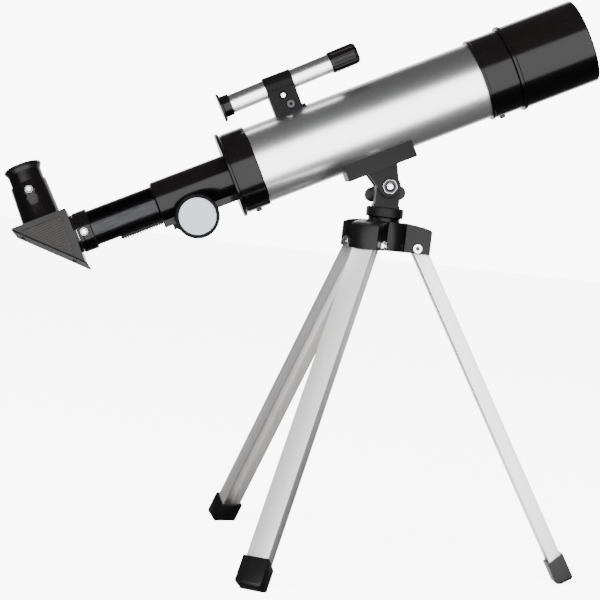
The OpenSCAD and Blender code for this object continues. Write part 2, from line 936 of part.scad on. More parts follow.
function slope_screw_x() = [mirror_u - mirror_len / 2 - 3, mirror_u + mirror_len / 2 + 3];
function slope_screw_y() = [0];

module diagonal_barrel() {
    color("silver")
        in_diagonal()
            pipe_x(elbow_reach - diagonal_wall + seat_gap, elbow_reach + plug_len,
                barrel_r, light_r + 0.4);
}

module diagonal_mirror() {
    color("lightcyan")
        in_slope()
            block([mirror_u - mirror_len / 2, mirror_u + mirror_len / 2],
                [-mirror_w / 2, mirror_w / 2], [0.1, hyp_depth - 0.1]);
}

module diagonal_cover_plate() {
    half_len = diagonal_leg / sqrt(2);
    color("silver")
        in_slope()
            difference() {
                block([-half_len + 1, half_len + 1.6], [-diagonal_w / 2 + 0.5, diagonal_w / 2 - 0.5],
                    [-cover_plate_t - seat_gap, -seat_gap]);
                for (x = slope_screw_x(), y = slope_screw_y())
                    translate([x, y, -cover_plate_t - cut])
                        cylinder(h = cover_plate_t + 2 * cut, r = 0.9);
            }
}

module cover_plate_screws() {
    color("silver")
        in_slope()
            for (x = slope_screw_x(), y = slope_screw_y())
                translate([x, y, -cover_plate_t - 2 * seat_gap])
                    rotate([180, 0, 0])
                        round_screw(1.7, 1.1, 0.8, cover_plate_t + 2.8);
}

module diagonal_panels() {
    half = diagonal_w / 2;
    from = half - panel_recess + seat_gap;
    trim = 0.1;
    color("gray")
        in_diagonal()
            for (side = [-1, 1])
                across(side > 0 ? from : -from - panel_t, side > 0 ? from + panel_t : -from)
                    polygon(diagonal_triangle(panel_top + trim, panel_right + trim,
                        panel_hyp + trim));
}

module eyepiece_thumbscrew() {
    color("silver")
        in_diagonal()
            translate([0, -socket_r_low - 1, eye_screw_z])
                rotate([90, 0, 0])
                    thumbscrew(socket_r_low + 1 - barrel_r - side_gap);
}

// ---- Eyepiece ----

module eyepiece_barrel() {
    low = elbow_rise + 3;
    color("silver")
        in_diagonal()
            lathe([
                [barrel_r - 1, low], [barrel_r, low], [barrel_r, eye_seat - 0.1],
                [barrel_r - 0.8, eye_seat - 0.1], [barrel_r - 0.8, eye_seat + 3.6],
                [barrel_r - 1.6, eye_seat + 3.6], [barrel_r - 1.6, eye_seat],
                [barrel_r - 1, eye_seat - 2]
            ]);
}

module eyepiece_body() {
    neck = eye_seat + 8.4;
    bore = barrel_r - 0.8 + seat_gap;
    color("black")
        in_diagonal()
            lathe([
                [bore, eye_seat], [eye_body_r, eye_seat], [eye_body_r, neck],
                [eye_body_r - 1.8, neck], [eye_body_r - 1.8, eye_top - 2.4],
                [9.2, eye_top - 2.4], [9.2, neck - 1], [8, neck - 1],
                [8, eye_seat + 3.8], [bore, eye_seat + 3.8]
            ]);
}

module eyecup() {
    neck = eye_seat + 8.4;
    inner = eye_body_r - 1.8 + seat_gap;
    rim_r = eye_body_r + 1.6;
    color("black")
        in_diagonal()
            lathe([
                [inner, neck + seat_gap], [eye_body_r, neck + seat_gap],
                [eye_body_r + 0.3, eye_top - 4], [eye_body_r + 0.9, eye_top - 2.4],
                [rim_r, eye_top - 1.7], [rim_r, eye_top - 0.5],
                [rim_r - 0.5, eye_top], [inner + 0.4, eye_top], [inner, eye_top - 1]
            ]);
}

// Flat-backed lens along the eyepiece axis
module eyepiece_lens(low, edge, r, curve) {
    translate([0, 0, low])
        rotate([0, -90, 0])
            lens(0, edge, r, curve, 0, 1);
}

module eye_lens() {
    color("lightblue")
        in_diagonal()
            eyepiece_lens(eye_seat + 7.5, 1.6, 9.1, 24);
}

module field_lens() {
    color("lightblue")
        in_diagonal()
            eyepiece_lens(elbow_rise + 6, 1.6, barrel_r - 1 - seat_gap, 30);
}

module field_stop() {
    low = elbow_rise + 16;
    color("black")
        in_diagonal()
            difference() {
                translate([0, 0, low])
                    cylinder(h = 1.5, r = barrel_r - 1 - seat_gap);
                translate([0, 0, low - cut])
                    cylinder(h = 1.5 + 2 * cut, r = 7);
            }
}

// ---- Finder ----

module finder_tube() {
    color("silver")
        in_finder()
            pipe_x(finder_rear, finder_front, finder_r, finder_r - 0.8);
}

module finder_eyecup() {
    back = finder_rear - 2;
    color("black")
        in_finder()
            difference() {
                turned([
                    [back, 0], [back, finder_r + 3.8], [back + 1.5, finder_r + 3.8],
                    [back + 2.4, finder_r + 1.2], [back + finder_cup_len, finder_r + 1],
                    [back + finder_cup_len, 0]
                ]);
                bar_x(finder_rear - seat_gap, back + finder_cup_len + cut, finder_r + seat_gap);
                bar_x(back - cut, finder_rear, 3.4);
            }
}

module finder_eye_lens() {
    color("lightblue")
        in_finder()
            lens(finder_rear + 1, 1.2, finder_r - 0.8 - seat_gap, 18, 1, 1);
}

module finder_focus_ring() {
    rear = finder_front - 6;
    front = rear + ring_len;
    grooves = 14;
    color("black")
        in_finder()
            difference() {
                turned([
                    [rear, 0], [rear, ring_r - 0.4], [rear + 0.6, ring_r],
                    [front - 3, ring_r], [front - 1, ring_r - 0.7],
                    [front, ring_r - 1.8], [front, 0]
                ]);
                bar_x(rear - cut, finder_front + 0.6, finder_r + run_gap);
                bar_x(rear, front + cut, finder_r - 1.6);
                bar_x(front - 5, front + cut, finder_r - 0.6);
                for (i = [0 : grooves - 1])
                    rotate([i * 360 / grooves, 0, 0])
                        translate([0, 0, ring_r + 0.35])
                            bar_x(rear + 2, front - 1.5, 0.8);
            }
}

module finder_objective() {
    from = finder_front - 6 + ring_len - 5 + seat_gap;
    color("lightblue")
        in_finder()
            lens(from, 1.4, finder_r - 0.6 - seat_gap, 40, 0, 1);
}

module finder_bracket() {
    half = bracket_len / 2;
    color("black")
        in_tube()
            difference() {
                union() {
                    translate([bracket_mid, 0, finder_height])
                        bar_x(-half, half, bracket_r);
                    block([bracket_mid - half, bracket_mid + half],
                        [-bracket_side, bracket_side], [tube_r - 3, finder_height]);
                    block([bracket_mid - half, bracket_mid + half + 2.6],
                        [-bracket_side, bracket_side], [tube_r - 3, tube_r + 1.6]);
                }
                finder_axis()
                    bar_x(bracket_mid - half - 2, bracket_mid + half + 2, finder_r + seat_gap);
                bar_x(bracket_mid - half - cut, bracket_mid + half + 4, tube_r + seat_gap);
                block([bracket_mid - half - cut, bracket_mid + half + cut], [-0.5, 0.5],
                    [bracket_clamp_z - 4.5, finder_height]);
                translate([bracket_mid, 0, bracket_clamp_z]) {
                    bar_y(-bracket_side - cut, -bracket_side + 1.9, 3.3);
                    bar_y(-bracket_side, bracket_side + cut, 1.5 + run_gap);
                }
                translate([bracket_mid + 3, 0, bracket_nut_z])
                    bar_y(-bracket_side - cut, -bracket_side + 1.2, 3.5);
                translate([bracket_mid, 0, tube_r - 2])
                    cylinder(h = 6, r = 1.8);
            }
}

module finder_clamp_screw() {
    color("silver")
        in_tube()
            translate([bracket_mid, -bracket_side + 1.8, bracket_clamp_z])
                rotate([90, 0, 0])
                    round_screw(2.7, 1.6, 1.5, 2 * bracket_side - 2.6);
}

module finder_bracket_nut() {
    color("dimgray")
        in_tube()
            translate([bracket_mid + 3, -bracket_side + 1.1, bracket_nut_z])
                rotate([90, 0, 0])
                    lathe([
                        [1.2, 0], [3.3, 0], [3.3, 1.2], [2.9, 1.7], [1.2, 1.7]
                    ]);
}

module finder_bracket_screw() {
    color("gray")
        in_tube()
            translate([bracket_mid, 0, tube_r - tube_wall - 0.4])
                rotate([180, 0, 0])
                    round_screw(3, 1.8, 1.5, tube_wall + 4);
}

// ---- Head ----

// Outline of one saddle ear, from the block down round the tilt axis
module ear_outline() {
    polygon([
        [-ear_root, saddle_under + 1], [ear_root, saddle_under + 1],
        [ear_r, 0], [ear_r * 0.8, -ear_r * 0.6], [-ear_r * 0.8, -ear_r * 0.6], [-ear_r, 0]
    ]);
    circle(r = ear_r);
}

module tube_saddle() {
    color("dimgray")
        on_tilt_axis()
            difference() {
                union() {
                    block([-saddle_len / 2, saddle_len / 2], [-saddle_w / 2, saddle_w / 2],
                        [saddle_under, tube_rise]);
                    across(-ear_out, -ear_in)
                        ear_outline();
                    across(ear_in, ear_out)
                        ear_outline();
                }
                translate([0, 0, tube_rise])
                    bar_x(-saddle_len / 2 - cut, saddle_len / 2 + cut, tube_r + seat_gap);
                bar_y(-ear_out - cut, ear_out + cut, tilt_bolt_r + seat_gap);
                for (s = saddle_screw_stations())
                    translate([s, 0, saddle_under + 1])
                        cylinder(h = tube_rise, r = 1.6);
            }
}

module saddle_screws() {
    color("gray")
        in_tube()
            for (s = saddle_screw_stations())
                translate([s, 0, -tube_r + tube_wall + 0.4])
                    round_screw(3, 1.8, 1.5, tube_wall + 4);
}

module tilt_bolt() {
    color("silver")
        on_tilt_axis()
            rotate([-90, 0, 0])
                lathe([
                    [0, -ear_out - 6.2], [tilt_bolt_r - 0.9, -ear_out - 6.2],
                    [tilt_bolt_r, -ear_out - 5.3], [tilt_bolt_r, lobe_to - 0.5],
                    [0, lobe_to - 0.5]
                ]);
}

module tilt_nut() {
    color("silver")
        on_tilt_axis()
            translate([0, -ear_out - seat_gap, 0])
                rotate([90, 0, 0])
                    hex_nut(10, 4.6, tilt_bolt_r + seat_gap);
}

module tilt_knob() {
    base = ear_out + side_gap;
    reach = tilt_knob_r - lobe_r;
    web = lobe_r - 0.6;
    color("black")
        on_tilt_axis()
            rotate([-90, 0, 0])
                difference() {
                    union() {
                        translate([0, 0, base])
                            cylinder(h = lobe_to + 1.2 - base, r1 = 7.2, r2 = 6.2);
                        for (turn = [20, 140, 260])
                            rotate([0, 0, turn + tube_tilt]) {
                                translate([reach, 0, lobe_from])
                                    cylinder(h = lobe_t, r = lobe_r);
                                block([0, reach], [-web, web], [lobe_from, lobe_to]);
                            }
                    }
                    translate([0, 0, base - cut])
                        cylinder(h = lobe_to - 0.2 - base + cut, r = tilt_bolt_r + run_gap);
                }
}

module pan_yoke() {
    color("dimgray")
        difference() {
            union() {
                translate([0, 0, pan_bottom])
                    lathe([
                        [0, 0], [pan_r - 0.6, 0], [pan_r, 0.6], [pan_r, pan_t - 0.8],
                        [pan_r - 0.8, pan_t], [0, pan_t]
                    ]);
                block([-tongue_half - 0.8, tongue_half + 0.8], [-tongue_t / 2, tongue_t / 2],
                    [pan_top - 1, pan_top + 2]);
                block([-tongue_half, tongue_half], [-tongue_t / 2, tongue_t / 2],
                    [pan_top, tilt_height]);
                translate([0, 0, tilt_height])
                    bar_y(-tongue_t / 2, tongue_t / 2, tongue_half);
            }
            translate([0, 0, tilt_height])
                bar_y(-tongue_t, tongue_t, tilt_bolt_r + run_gap);
            translate([0, 0, pan_bottom - cut])
                cylinder(h = pan_t + cut + 4, r = pan_bolt_r + seat_gap);
            translate([0, 0, pan_bottom - cut])
                cylinder(h = cut + boss_key + side_gap, r = boss_r + side_gap);
        }
}

module pan_bolt() {
    head_top = hub_bottom + 6 - side_gap;
    color("silver")
        union() {
            translate([0, 0, head_top - 3.4])
                cylinder(h = 3.4, r = 9 / sqrt(3), $fn = 6);
            translate([0, 0, head_top - 1])
                cylinder(h = pan_top + 3.6 - head_top + 1, r = pan_bolt_r);
        }
}

// ---- Tripod ----

// Side outline of the slot in a hub arm: square above, and sloped at its outer end so
// that the open leg comes to rest against it
function leg_slot() =
    let (
        out = leg_out + side_gap,
        wall = hub_r - arm_end_wall,
        low = hub_bottom - cut,
        at_wall = (out * cos(leg_splay) + pivot_reach - wall) / sin(leg_splay),
        at_low = (low - pivot_height - out * sin(leg_splay)) / cos(leg_splay)
    )
    [
        [pivot_reach - 13, low], [pivot_reach - 13, hub_top - 5.2], [wall, hub_top - 5.2],
        [wall, pivot_height + out * sin(leg_splay) + at_wall * cos(leg_splay)],
        [pivot_reach + out * cos(leg_splay) - at_low * sin(leg_splay), low]
    ];

module tripod_hub() {
    dome = hub_top - hub_bottom;
    color("black")
        difference() {
            union() {
                intersection() {
                    translate([0, 0, hub_bottom])
                        linear_extrude(dome) {
                            circle(r = column_r);
                            for (angle = leg_angles)
                                rotate([0, 0, angle])
                                    translate([0, -arm_half])
                                        square([hub_r + cut, 2 * arm_half]);
                        }
                    translate([0, 0, hub_bottom])
                        lathe([
                            [0, 0], [hub_r, 0], [hub_r, dome - 4], [hub_r - 1, dome - 3.1],
                            [hub_r - 6, dome - 1.7], [hub_r - 12, dome - 0.8],
                            [hub_r - 19, dome], [0, dome]
                        ]);
                }
                translate([0, 0, hub_top - 1])
                    cylinder(h = boss_top + boss_key - hub_top + 1, r = boss_r);
            }
            for (angle = leg_angles) {
                rotate([0, 0, angle])
                    across(-leg_w / 2 - side_gap, leg_w / 2 + side_gap)
                        polygon(leg_slot());
                rotate([0, 0, angle])
                    translate([pivot_reach, 0, pivot_height])
                        bar_y(-arm_half - cut, arm_half + cut, leg_bolt_r + seat_gap);
            }
            translate([0, 0, hub_bottom - cut])
                cylinder(h = 6 + cut, r = 6.4);
            translate([0, 0, hub_bottom])
                cylinder(h = boss_top, r = pan_bolt_r + run_gap);
        }
}

module leg_bolts() {
    head_h = 2.2;
    color("silver")
        for (angle = leg_angles)
            rotate([0, 0, angle])
                translate([pivot_reach, -arm_half - seat_gap, pivot_height])
                    rotate([-90, 0, 0])
                        difference() {
                            union() {
                                translate([0, 0, -head_h])
                                    cylinder(h = head_h, r1 = 3.3, r2 = 4.1);
                                cylinder(h = 2 * arm_half + 4.4, r = leg_bolt_r);
                            }
                            translate([0, 0, -head_h - cut])
                                cylinder(h = cut + 1.8, r = 1.6, $fn = 6);
                        }
}

module leg_nuts() {
    color("silver")
        for (angle = leg_angles)
            rotate([0, 0, angle])
                translate([pivot_reach, arm_half + seat_gap, pivot_height])
                    rotate([-90, 0, 0])
                        hex_nut(7, 3.2, leg_bolt_r + seat_gap);
}

// Folded sheet channel, open side inward, with the pivot hole through both flanges
module leg(angle) {
    low = -leg_reach + 2.4;
    color("lightgray")
        in_leg(angle)
            difference() {
                block([leg_in, leg_out], [-leg_w / 2, leg_w / 2], [low, leg_above]);
                block([leg_in - cut, leg_out - leg_wall],
                    [-leg_w / 2 + leg_wall, leg_w / 2 - leg_wall], [low - cut, leg_above + cut]);
                bar_y(-leg_w, leg_w, leg_bolt_r + run_gap);
            }
}

// Rubber cap pushed over the end of a leg, its inner corner flat on the floor
module foot(angle) {
    low = -leg_reach;
    top = low + foot_len;
    grow = foot_wall + seat_gap;
    soft = 1.6;
    wide = leg_w / 2 + grow;
    color("black")
        difference() {
            in_leg(angle)
                difference() {
                    intersection() {
                        block([foot_in, leg_out + grow], [-wide, wide], [low, top]);
                        across(-wide, wide)
                            polygon([
                                [foot_in, low], [leg_out + grow - soft, low],
                                [leg_out + grow, low + soft], [leg_out + grow, top],
                                [foot_in, top - 3]
                            ]);
                        rotate([0, 0, 90])
                            across(foot_in - leg_d * 2, leg_d * 2)
                                polygon([
                                    [-wide, low + soft], [-wide + soft, low],
                                    [wide - soft, low], [wide, low + soft],
                                    [wide, top], [-wide, top]
                                ]);
                    }
                    block([leg_in - seat_gap, leg_out + seat_gap],
                        [-leg_w / 2 - seat_gap, leg_w / 2 + seat_gap],
                        [-leg_reach + 2.3, top + cut]);
                }
            translate([0, 0, -10])
                cube([2000, 2000, 20], center = true);
        }
}

module leg_front() {
    leg(leg_angles[0]);
}

module leg_right() {
    leg(leg_angles[1]);
}

module leg_rear() {
    leg(leg_angles[2]);
}

module foot_front() {
    foot(leg_angles[0]);
}

module foot_right() {
    foot(leg_angles[1]);
}

module foot_rear() {
    foot(leg_angles[2]);
}

main_tube();
light_baffle();
rear_cell();
rear_cell_screws();
front_cell();
front_cell_screws();
objective_front_lens();
objective_rear_lens();
lens_spacer();
lens_retaining_ring();
dew_shield();
focuser_housing();
pinion_cover();
pinion_cover_screws();
focus_pinion();
focus_knob_near();
focus_knob_far();
knob_caps();
draw_tube();
focus_rack();
draw_tube_collar();
collar_thumbscrew();
diagonal_housing();
diagonal_barrel();
diagonal_mirror();
diagonal_cover_plate();
cover_plate_screws();
diagonal_panels();
eyepiece_thumbscrew();
eyepiece_barrel();
eyepiece_body();
eyecup();
eye_lens();
field_lens();
field_stop();
finder_tube();
finder_eyecup();
finder_eye_lens();
finder_focus_ring();
finder_objective();
finder_bracket();
finder_clamp_screw();
finder_bracket_nut();
finder_bracket_screw();
tube_saddle();
saddle_screws();
tilt_bolt();
tilt_nut();
tilt_knob();
pan_yoke();
pan_bolt();
tripod_hub();
leg_bolts();
leg_nuts();
leg_front();
leg_right();
leg_rear();
foot_front();
foot_right();
foot_rear();
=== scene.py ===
import json
import math

import bpy
from mathutils import Matrix, Vector

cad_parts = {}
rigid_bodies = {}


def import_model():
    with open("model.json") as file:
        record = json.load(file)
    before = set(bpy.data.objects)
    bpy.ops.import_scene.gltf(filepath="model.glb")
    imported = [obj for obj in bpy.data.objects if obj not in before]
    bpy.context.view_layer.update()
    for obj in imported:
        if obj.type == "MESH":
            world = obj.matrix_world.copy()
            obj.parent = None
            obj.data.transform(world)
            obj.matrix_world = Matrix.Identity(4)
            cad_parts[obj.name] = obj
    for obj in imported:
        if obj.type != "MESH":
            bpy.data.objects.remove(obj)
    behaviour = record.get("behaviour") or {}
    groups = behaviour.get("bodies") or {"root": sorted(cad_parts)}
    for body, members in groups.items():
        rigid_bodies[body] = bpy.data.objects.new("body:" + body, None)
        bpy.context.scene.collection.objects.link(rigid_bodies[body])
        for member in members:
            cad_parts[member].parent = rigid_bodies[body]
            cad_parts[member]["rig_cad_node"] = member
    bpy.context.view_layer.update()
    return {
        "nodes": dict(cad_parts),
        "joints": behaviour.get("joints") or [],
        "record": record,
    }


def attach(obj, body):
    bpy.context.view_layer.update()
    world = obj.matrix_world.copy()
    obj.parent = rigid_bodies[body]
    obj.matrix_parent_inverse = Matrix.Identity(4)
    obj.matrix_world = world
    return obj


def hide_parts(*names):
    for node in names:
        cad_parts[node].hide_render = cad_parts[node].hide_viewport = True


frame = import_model()
NODES = frame["nodes"]
RECORD = frame["record"]
BODY_OF = {
    name: body
    for body, names in RECORD["behaviour"]["bodies"].items()
    for name in names
}
SLOT_OF = {row["node"]: row["material_slot"] for row in RECORD["subparts"]}

MM = 0.001
TUBE_TILT = math.radians(27.3)
TUBE_AXIS = Vector((math.cos(TUBE_TILT), 0, math.sin(TUBE_TILT)))
TUBE_UP = Vector((-math.sin(TUBE_TILT), 0, math.cos(TUBE_TILT)))
DIAGONAL_LEAN = math.radians(13)
LEG_SPLAY = math.radians(30.5)
LEG_TURNS = {
    "front": math.radians(-118),
    "right": math.radians(2),
    "rear": math.radians(122),
}


# ---- Camera ----

CAMERA_PLACE = Vector((-0.17808, -1.56857, 0.27608))
CAMERA_YAW = math.radians(-4.46)
CAMERA_PITCH = math.radians(3.01)
CAMERA_ROLL = math.radians(-6.46)
CAMERA_LENS = 126.37


def add_camera():
    level = Vector((-math.sin(CAMERA_YAW), math.cos(CAMERA_YAW), 0))
    side = Vector((math.cos(CAMERA_YAW), math.sin(CAMERA_YAW), 0))
    up_axis = Vector((0, 0, 1))
    ahead = level * math.cos(CAMERA_PITCH) - up_axis * math.sin(CAMERA_PITCH)
    over = up_axis * math.cos(CAMERA_PITCH) + level * math.sin(CAMERA_PITCH)
    right = side * math.cos(CAMERA_ROLL) - over * math.sin(CAMERA_ROLL)
    up = over * math.cos(CAMERA_ROLL) + side * math.sin(CAMERA_ROLL)
    bpy.ops.object.camera_add(location=CAMERA_PLACE)
    camera = bpy.context.object
    camera.rotation_euler = Matrix((right, up, -ahead)).transposed().to_euler()
    camera.data.lens = CAMERA_LENS
    camera.data.sensor_width = 36
    camera.data.clip_start = 0.05
    camera.data.clip_end = 30
    bpy.context.scene.camera = camera


# ---- Studio ----

MIDDLE = Vector((0, 0, 0.3))
VIEW_SIDE = Vector((-0.11, -0.99, 0)).normalized()
ROOM_LIGHT = 0.12
PAPER_SHADE = 0.8
FLOOR_SIZE, FLOOR_GLOW = 16, 7.5
BACKDROP_RADIUS, BACKDROP_GLOW = 9, 9.0
# How far the front softbox sits below the level of the tube, which sets the gloss band
FRONT_DROP = math.radians(-12.5)


# Places a softbox that faces the middle, with its long side along the tube
def add_softbox(name, direction, distance, size, radiance):
    facing = direction.normalized()
    along = (TUBE_AXIS - facing * TUBE_AXIS.dot(facing)).normalized()
    bpy.ops.object.light_add(type="AREA", location=MIDDLE + facing * distance)
    light = bpy.context.object
    light.name = name
    light.rotation_euler = Matrix((along, facing.cross(along), facing)).transposed().to_euler()
    light.data.shape = "RECTANGLE"
    light.data.size, light.data.size_y = size
    light.data.energy = radiance * math.pi * size[0] * size[1]
    light.visible_camera = False
    return light


# A glowing pale paper
def paper(name, glow):
    material = bpy.data.materials.new(name)
    material.use_nodes = True
    face = material.node_tree.nodes["Principled BSDF"]
    face.inputs["Base Color"].default_value = (PAPER_SHADE, PAPER_SHADE, PAPER_SHADE, 1)
    face.inputs["Roughness"].default_value = 0.9
    face.inputs["Specular IOR Level"].default_value = 0
    face.inputs["Emission Color"].default_value = (1, 1, 1, 1)
    face.inputs["Emission Strength"].default_value = glow
    return material


# Sets a backdrop that only the camera sees: it neither lights nor mirrors in the telescope
def set_stage_piece(piece, name, material):
    piece.name = name
    piece.data.materials.append(material)
    piece.visible_diffuse = False
    piece.visible_glossy = False
    piece.visible_shadow = False


def add_room():
    world = bpy.data.worlds.new("room")
    bpy.context.scene.world = world
    world.use_nodes = True
    air = world.node_tree.nodes["Background"]
    air.inputs["Color"].default_value = (1, 1, 1, 1)
    air.inputs["Strength"].default_value = ROOM_LIGHT
    bpy.ops.object.select_all(action="DESELECT")
    bpy.ops.mesh.primitive_plane_add(size=FLOOR_SIZE, location=(0, 0, 0))
    set_stage_piece(bpy.context.object, "floor", paper("floor_paper", FLOOR_GLOW))
    bpy.ops.mesh.primitive_uv_sphere_add(
        segments=48, ring_count=24, radius=BACKDROP_RADIUS
    )
    set_stage_piece(
        bpy.context.object, "backdrop", paper("backdrop_paper", BACKDROP_GLOW)
    )


# The two long softboxes draw the gloss bands, and the key and the fill light the matt faces
def add_lights():
    front = VIEW_SIDE * math.cos(FRONT_DROP) + TUBE_UP * math.sin(FRONT_DROP)
    back = -VIEW_SIDE + TUBE_UP * 0.1
    overhead = Vector((-0.35, -0.75, 1.0))
    for name, direction, distance, size, radiance in (
        ("front_softbox", front, 1.5, (3.4, 2.4), 6.4),
        ("back_softbox", back, 1.4, (3.0, 1.8), 2.2),
    ):
        box = add_softbox(name, direction, distance, size, radiance)
        box.visible_diffuse = False
    for name, direction, distance, size, radiance in (
        ("overhead_key", overhead, 1.6, (1.4, 1.4), 12),
        ("front_fill", VIEW_SIDE, 1.8, (2.4, 1.6), 0.4),
    ):
        box = add_softbox(name, direction, distance, size, radiance)
        box.visible_glossy = False


# ---- Materials ----

def link(material, source, target):
    material.node_tree.links.new(source, target)


def add_node(material, kind, **values):
    node = material.node_tree.nodes.new(kind)
    for name, value in values.items():
        node.inputs[name.replace("_", " ")].default_value = value
    return node


# Object coordinates, turned so that X runs along the grain, and stretched
def grain_space(material, turn, stretch):
    place = material.node_tree.nodes.new("ShaderNodeTexCoord")
    mapping = material.node_tree.nodes.new("ShaderNodeMapping")
    mapping.vector_type = "TEXTURE"
    mapping.inputs["Rotation"].default_value = turn
    mapping.inputs["Scale"].default_value = stretch
    link(material, place.outputs["Object"], mapping.inputs["Vector"])
    return mapping.outputs["Vector"]


# Starts a material whose uniform values are set on the shader itself
def new_finish(name, metal, coat=0.0, ior=1.45, coat_rough=0.05):
    material = bpy.data.materials.new(name)
    material.use_nodes = True
    face = material.node_tree.nodes["Principled BSDF"]
    face.inputs["Metallic"].default_value = metal
    face.inputs["IOR"].default_value = ior
    face.inputs["Coat Weight"].default_value = coat
    face.inputs["Coat Roughness"].default_value = coat_rough
    return material, face


# Speckles the colour between two tones
def tone(material, face, space, grain, low, high):
    noise = add_node(material, "ShaderNodeTexNoise", Scale=grain, Detail=3.0)
    ramp = material.node_tree.nodes.new("ShaderNodeValToRGB")
    ramp.color_ramp.elements[0].position = 0.3
    ramp.color_ramp.elements[1].position = 0.7
    ramp.color_ramp.elements[0].color = (*low, 1)
    ramp.color_ramp.elements[1].color = (*high, 1)
    link(material, space, noise.inputs["Vector"])
    link(material, noise.outputs["Fac"], ramp.inputs["Fac"])
    link(material, ramp.outputs["Color"], face.inputs["Base Color"])
    return noise


# Wanders the gloss between two roughnesses
def gloss(material, face, space, grain, smooth, rough):
    noise = add_node(material, "ShaderNodeTexNoise", Scale=grain, Detail=2.0)
    span = add_node(material, "ShaderNodeMapRange", To_Min=smooth, To_Max=rough)
    link(material, space, noise.inputs["Vector"])
    link(material, noise.outputs["Fac"], span.inputs["Value"])
    link(material, span.outputs["Result"], face.inputs["Roughness"])


# Raises a fine texture
def relief(material, face, height, depth):
    bump = add_node(material, "ShaderNodeBump", Strength=0.6, Distance=depth)
    link(material, height, bump.inputs["Height"])
    link(material, bump.outputs["Normal"], face.inputs["Normal"])


# Moulded plastic or rubber with a fine grain
def moulded(name, low, high, smooth, rough, grain, depth, ior=1.45):
    material, face = new_finish(name, 0.0, ior=ior)
    space = grain_space(material, (0, 0, 0), (1, 1, 1))
    speckle = tone(material, face, space, grain, low, high)
    gloss(material, face, space, grain=35.0, smooth=smooth, rough=rough)
    relief(material, face, speckle.outputs["Fac"], depth)
    return material


# Silver paint with metal flakes
def flake_paint():
    material, face = new_finish("silver_flake_paint", 1.0)
    space = grain_space(material, (0, 0, 0), (1, 1, 1))
    flakes = tone(
        material, face, space, grain=5200.0, low=(0.68, 0.68, 0.69), high=(0.84, 0.84, 0.85)
    )
    gloss(material, face, space, grain=18.0, smooth=0.27, rough=0.33)
    relief(material, face, flakes.outputs["Fac"], depth=0.000008)
    return material


# How far the brushed lines run along the grain and across it, in metres
LINE_STRETCH = (0.12, 0.003, 0.003)


# Metal drawn or brushed along one direction
def brushed(name, turn, low, high, smooth, rough, depth, metal=1.0):
    material, face = new_finish(name, metal)
    space = grain_space(material, turn, LINE_STRETCH)
    lines = tone(material, face, space, grain=9.0, low=low, high=high)
    gloss(material, face, space, grain=14.0, smooth=smooth, rough=rough)
    relief(material, face, lines.outputs["Fac"], depth)
    return material


# Turned or plated metal, with no direction to its marks
def turned_metal(name, low, high, smooth, rough):
    material, face = new_finish(name, 1.0)
    space = grain_space(material, (0, 0, 0), (1, 1, 1))
    marks = tone(material, face, space, grain=2600.0, low=low, high=high)
    gloss(material, face, space, grain=300.0, smooth=smooth, rough=rough)
    relief(material, face, marks.outputs["Fac"], depth=0.000004)
    return material


# Coated optical glass
def clear_glass():
    material, face = new_finish("coated_glass", 0.0, coat=0.4, ior=1.52)
    face.inputs["Transmission Weight"].default_value = 1.0
    space = grain_space(material, (0, 0, 0), (1, 1, 1))
    tone(material, face, space, grain=20.0, low=(0.80, 0.90, 0.97), high=(0.88, 0.95, 1.0))
    gloss(material, face, space, grain=60.0, smooth=0.01, rough=0.03)
    return material


HATCH_SCALE = 330.0


# Dark plate cut with fine slanting lines
def hatched_plate():
    material, face = new_finish("hatched_plate", 0.0, ior=1.25)
    turn = (DIAGONAL_LEAN, -TUBE_TILT, 0)
    space = grain_space(material, turn, (1, 1, 1))
    lines = add_node(material, "ShaderNodeTexWave", Scale=HATCH_SCALE, Distortion=0.0)
    lines.bands_direction = "DIAGONAL"
    ramp = material.node_tree.nodes.new("ShaderNodeValToRGB")
    ramp.color_ramp.elements[0].color = (0.006, 0.005, 0.005, 1)
    ramp.color_ramp.elements[1].color = (0.05, 0.046, 0.044, 1)
    link(material, space, lines.inputs["Vector"])
    link(material, lines.outputs["Fac"], ramp.inputs["Fac"])
    link(material, ramp.outputs["Color"], face.inputs["Base Color"])
    gloss(material, face, space, grain=90.0, smooth=0.34, rough=0.42)
    relief(material, face, lines.outputs["Fac"], depth=0.00012)
    return material


# Turns that lay the grain along the tube and along a leg
ALONG_TUBE = (0, -TUBE_TILT, 0)


def along_leg(turn):
    return (0, math.pi / 2 - LEG_SPLAY, turn)


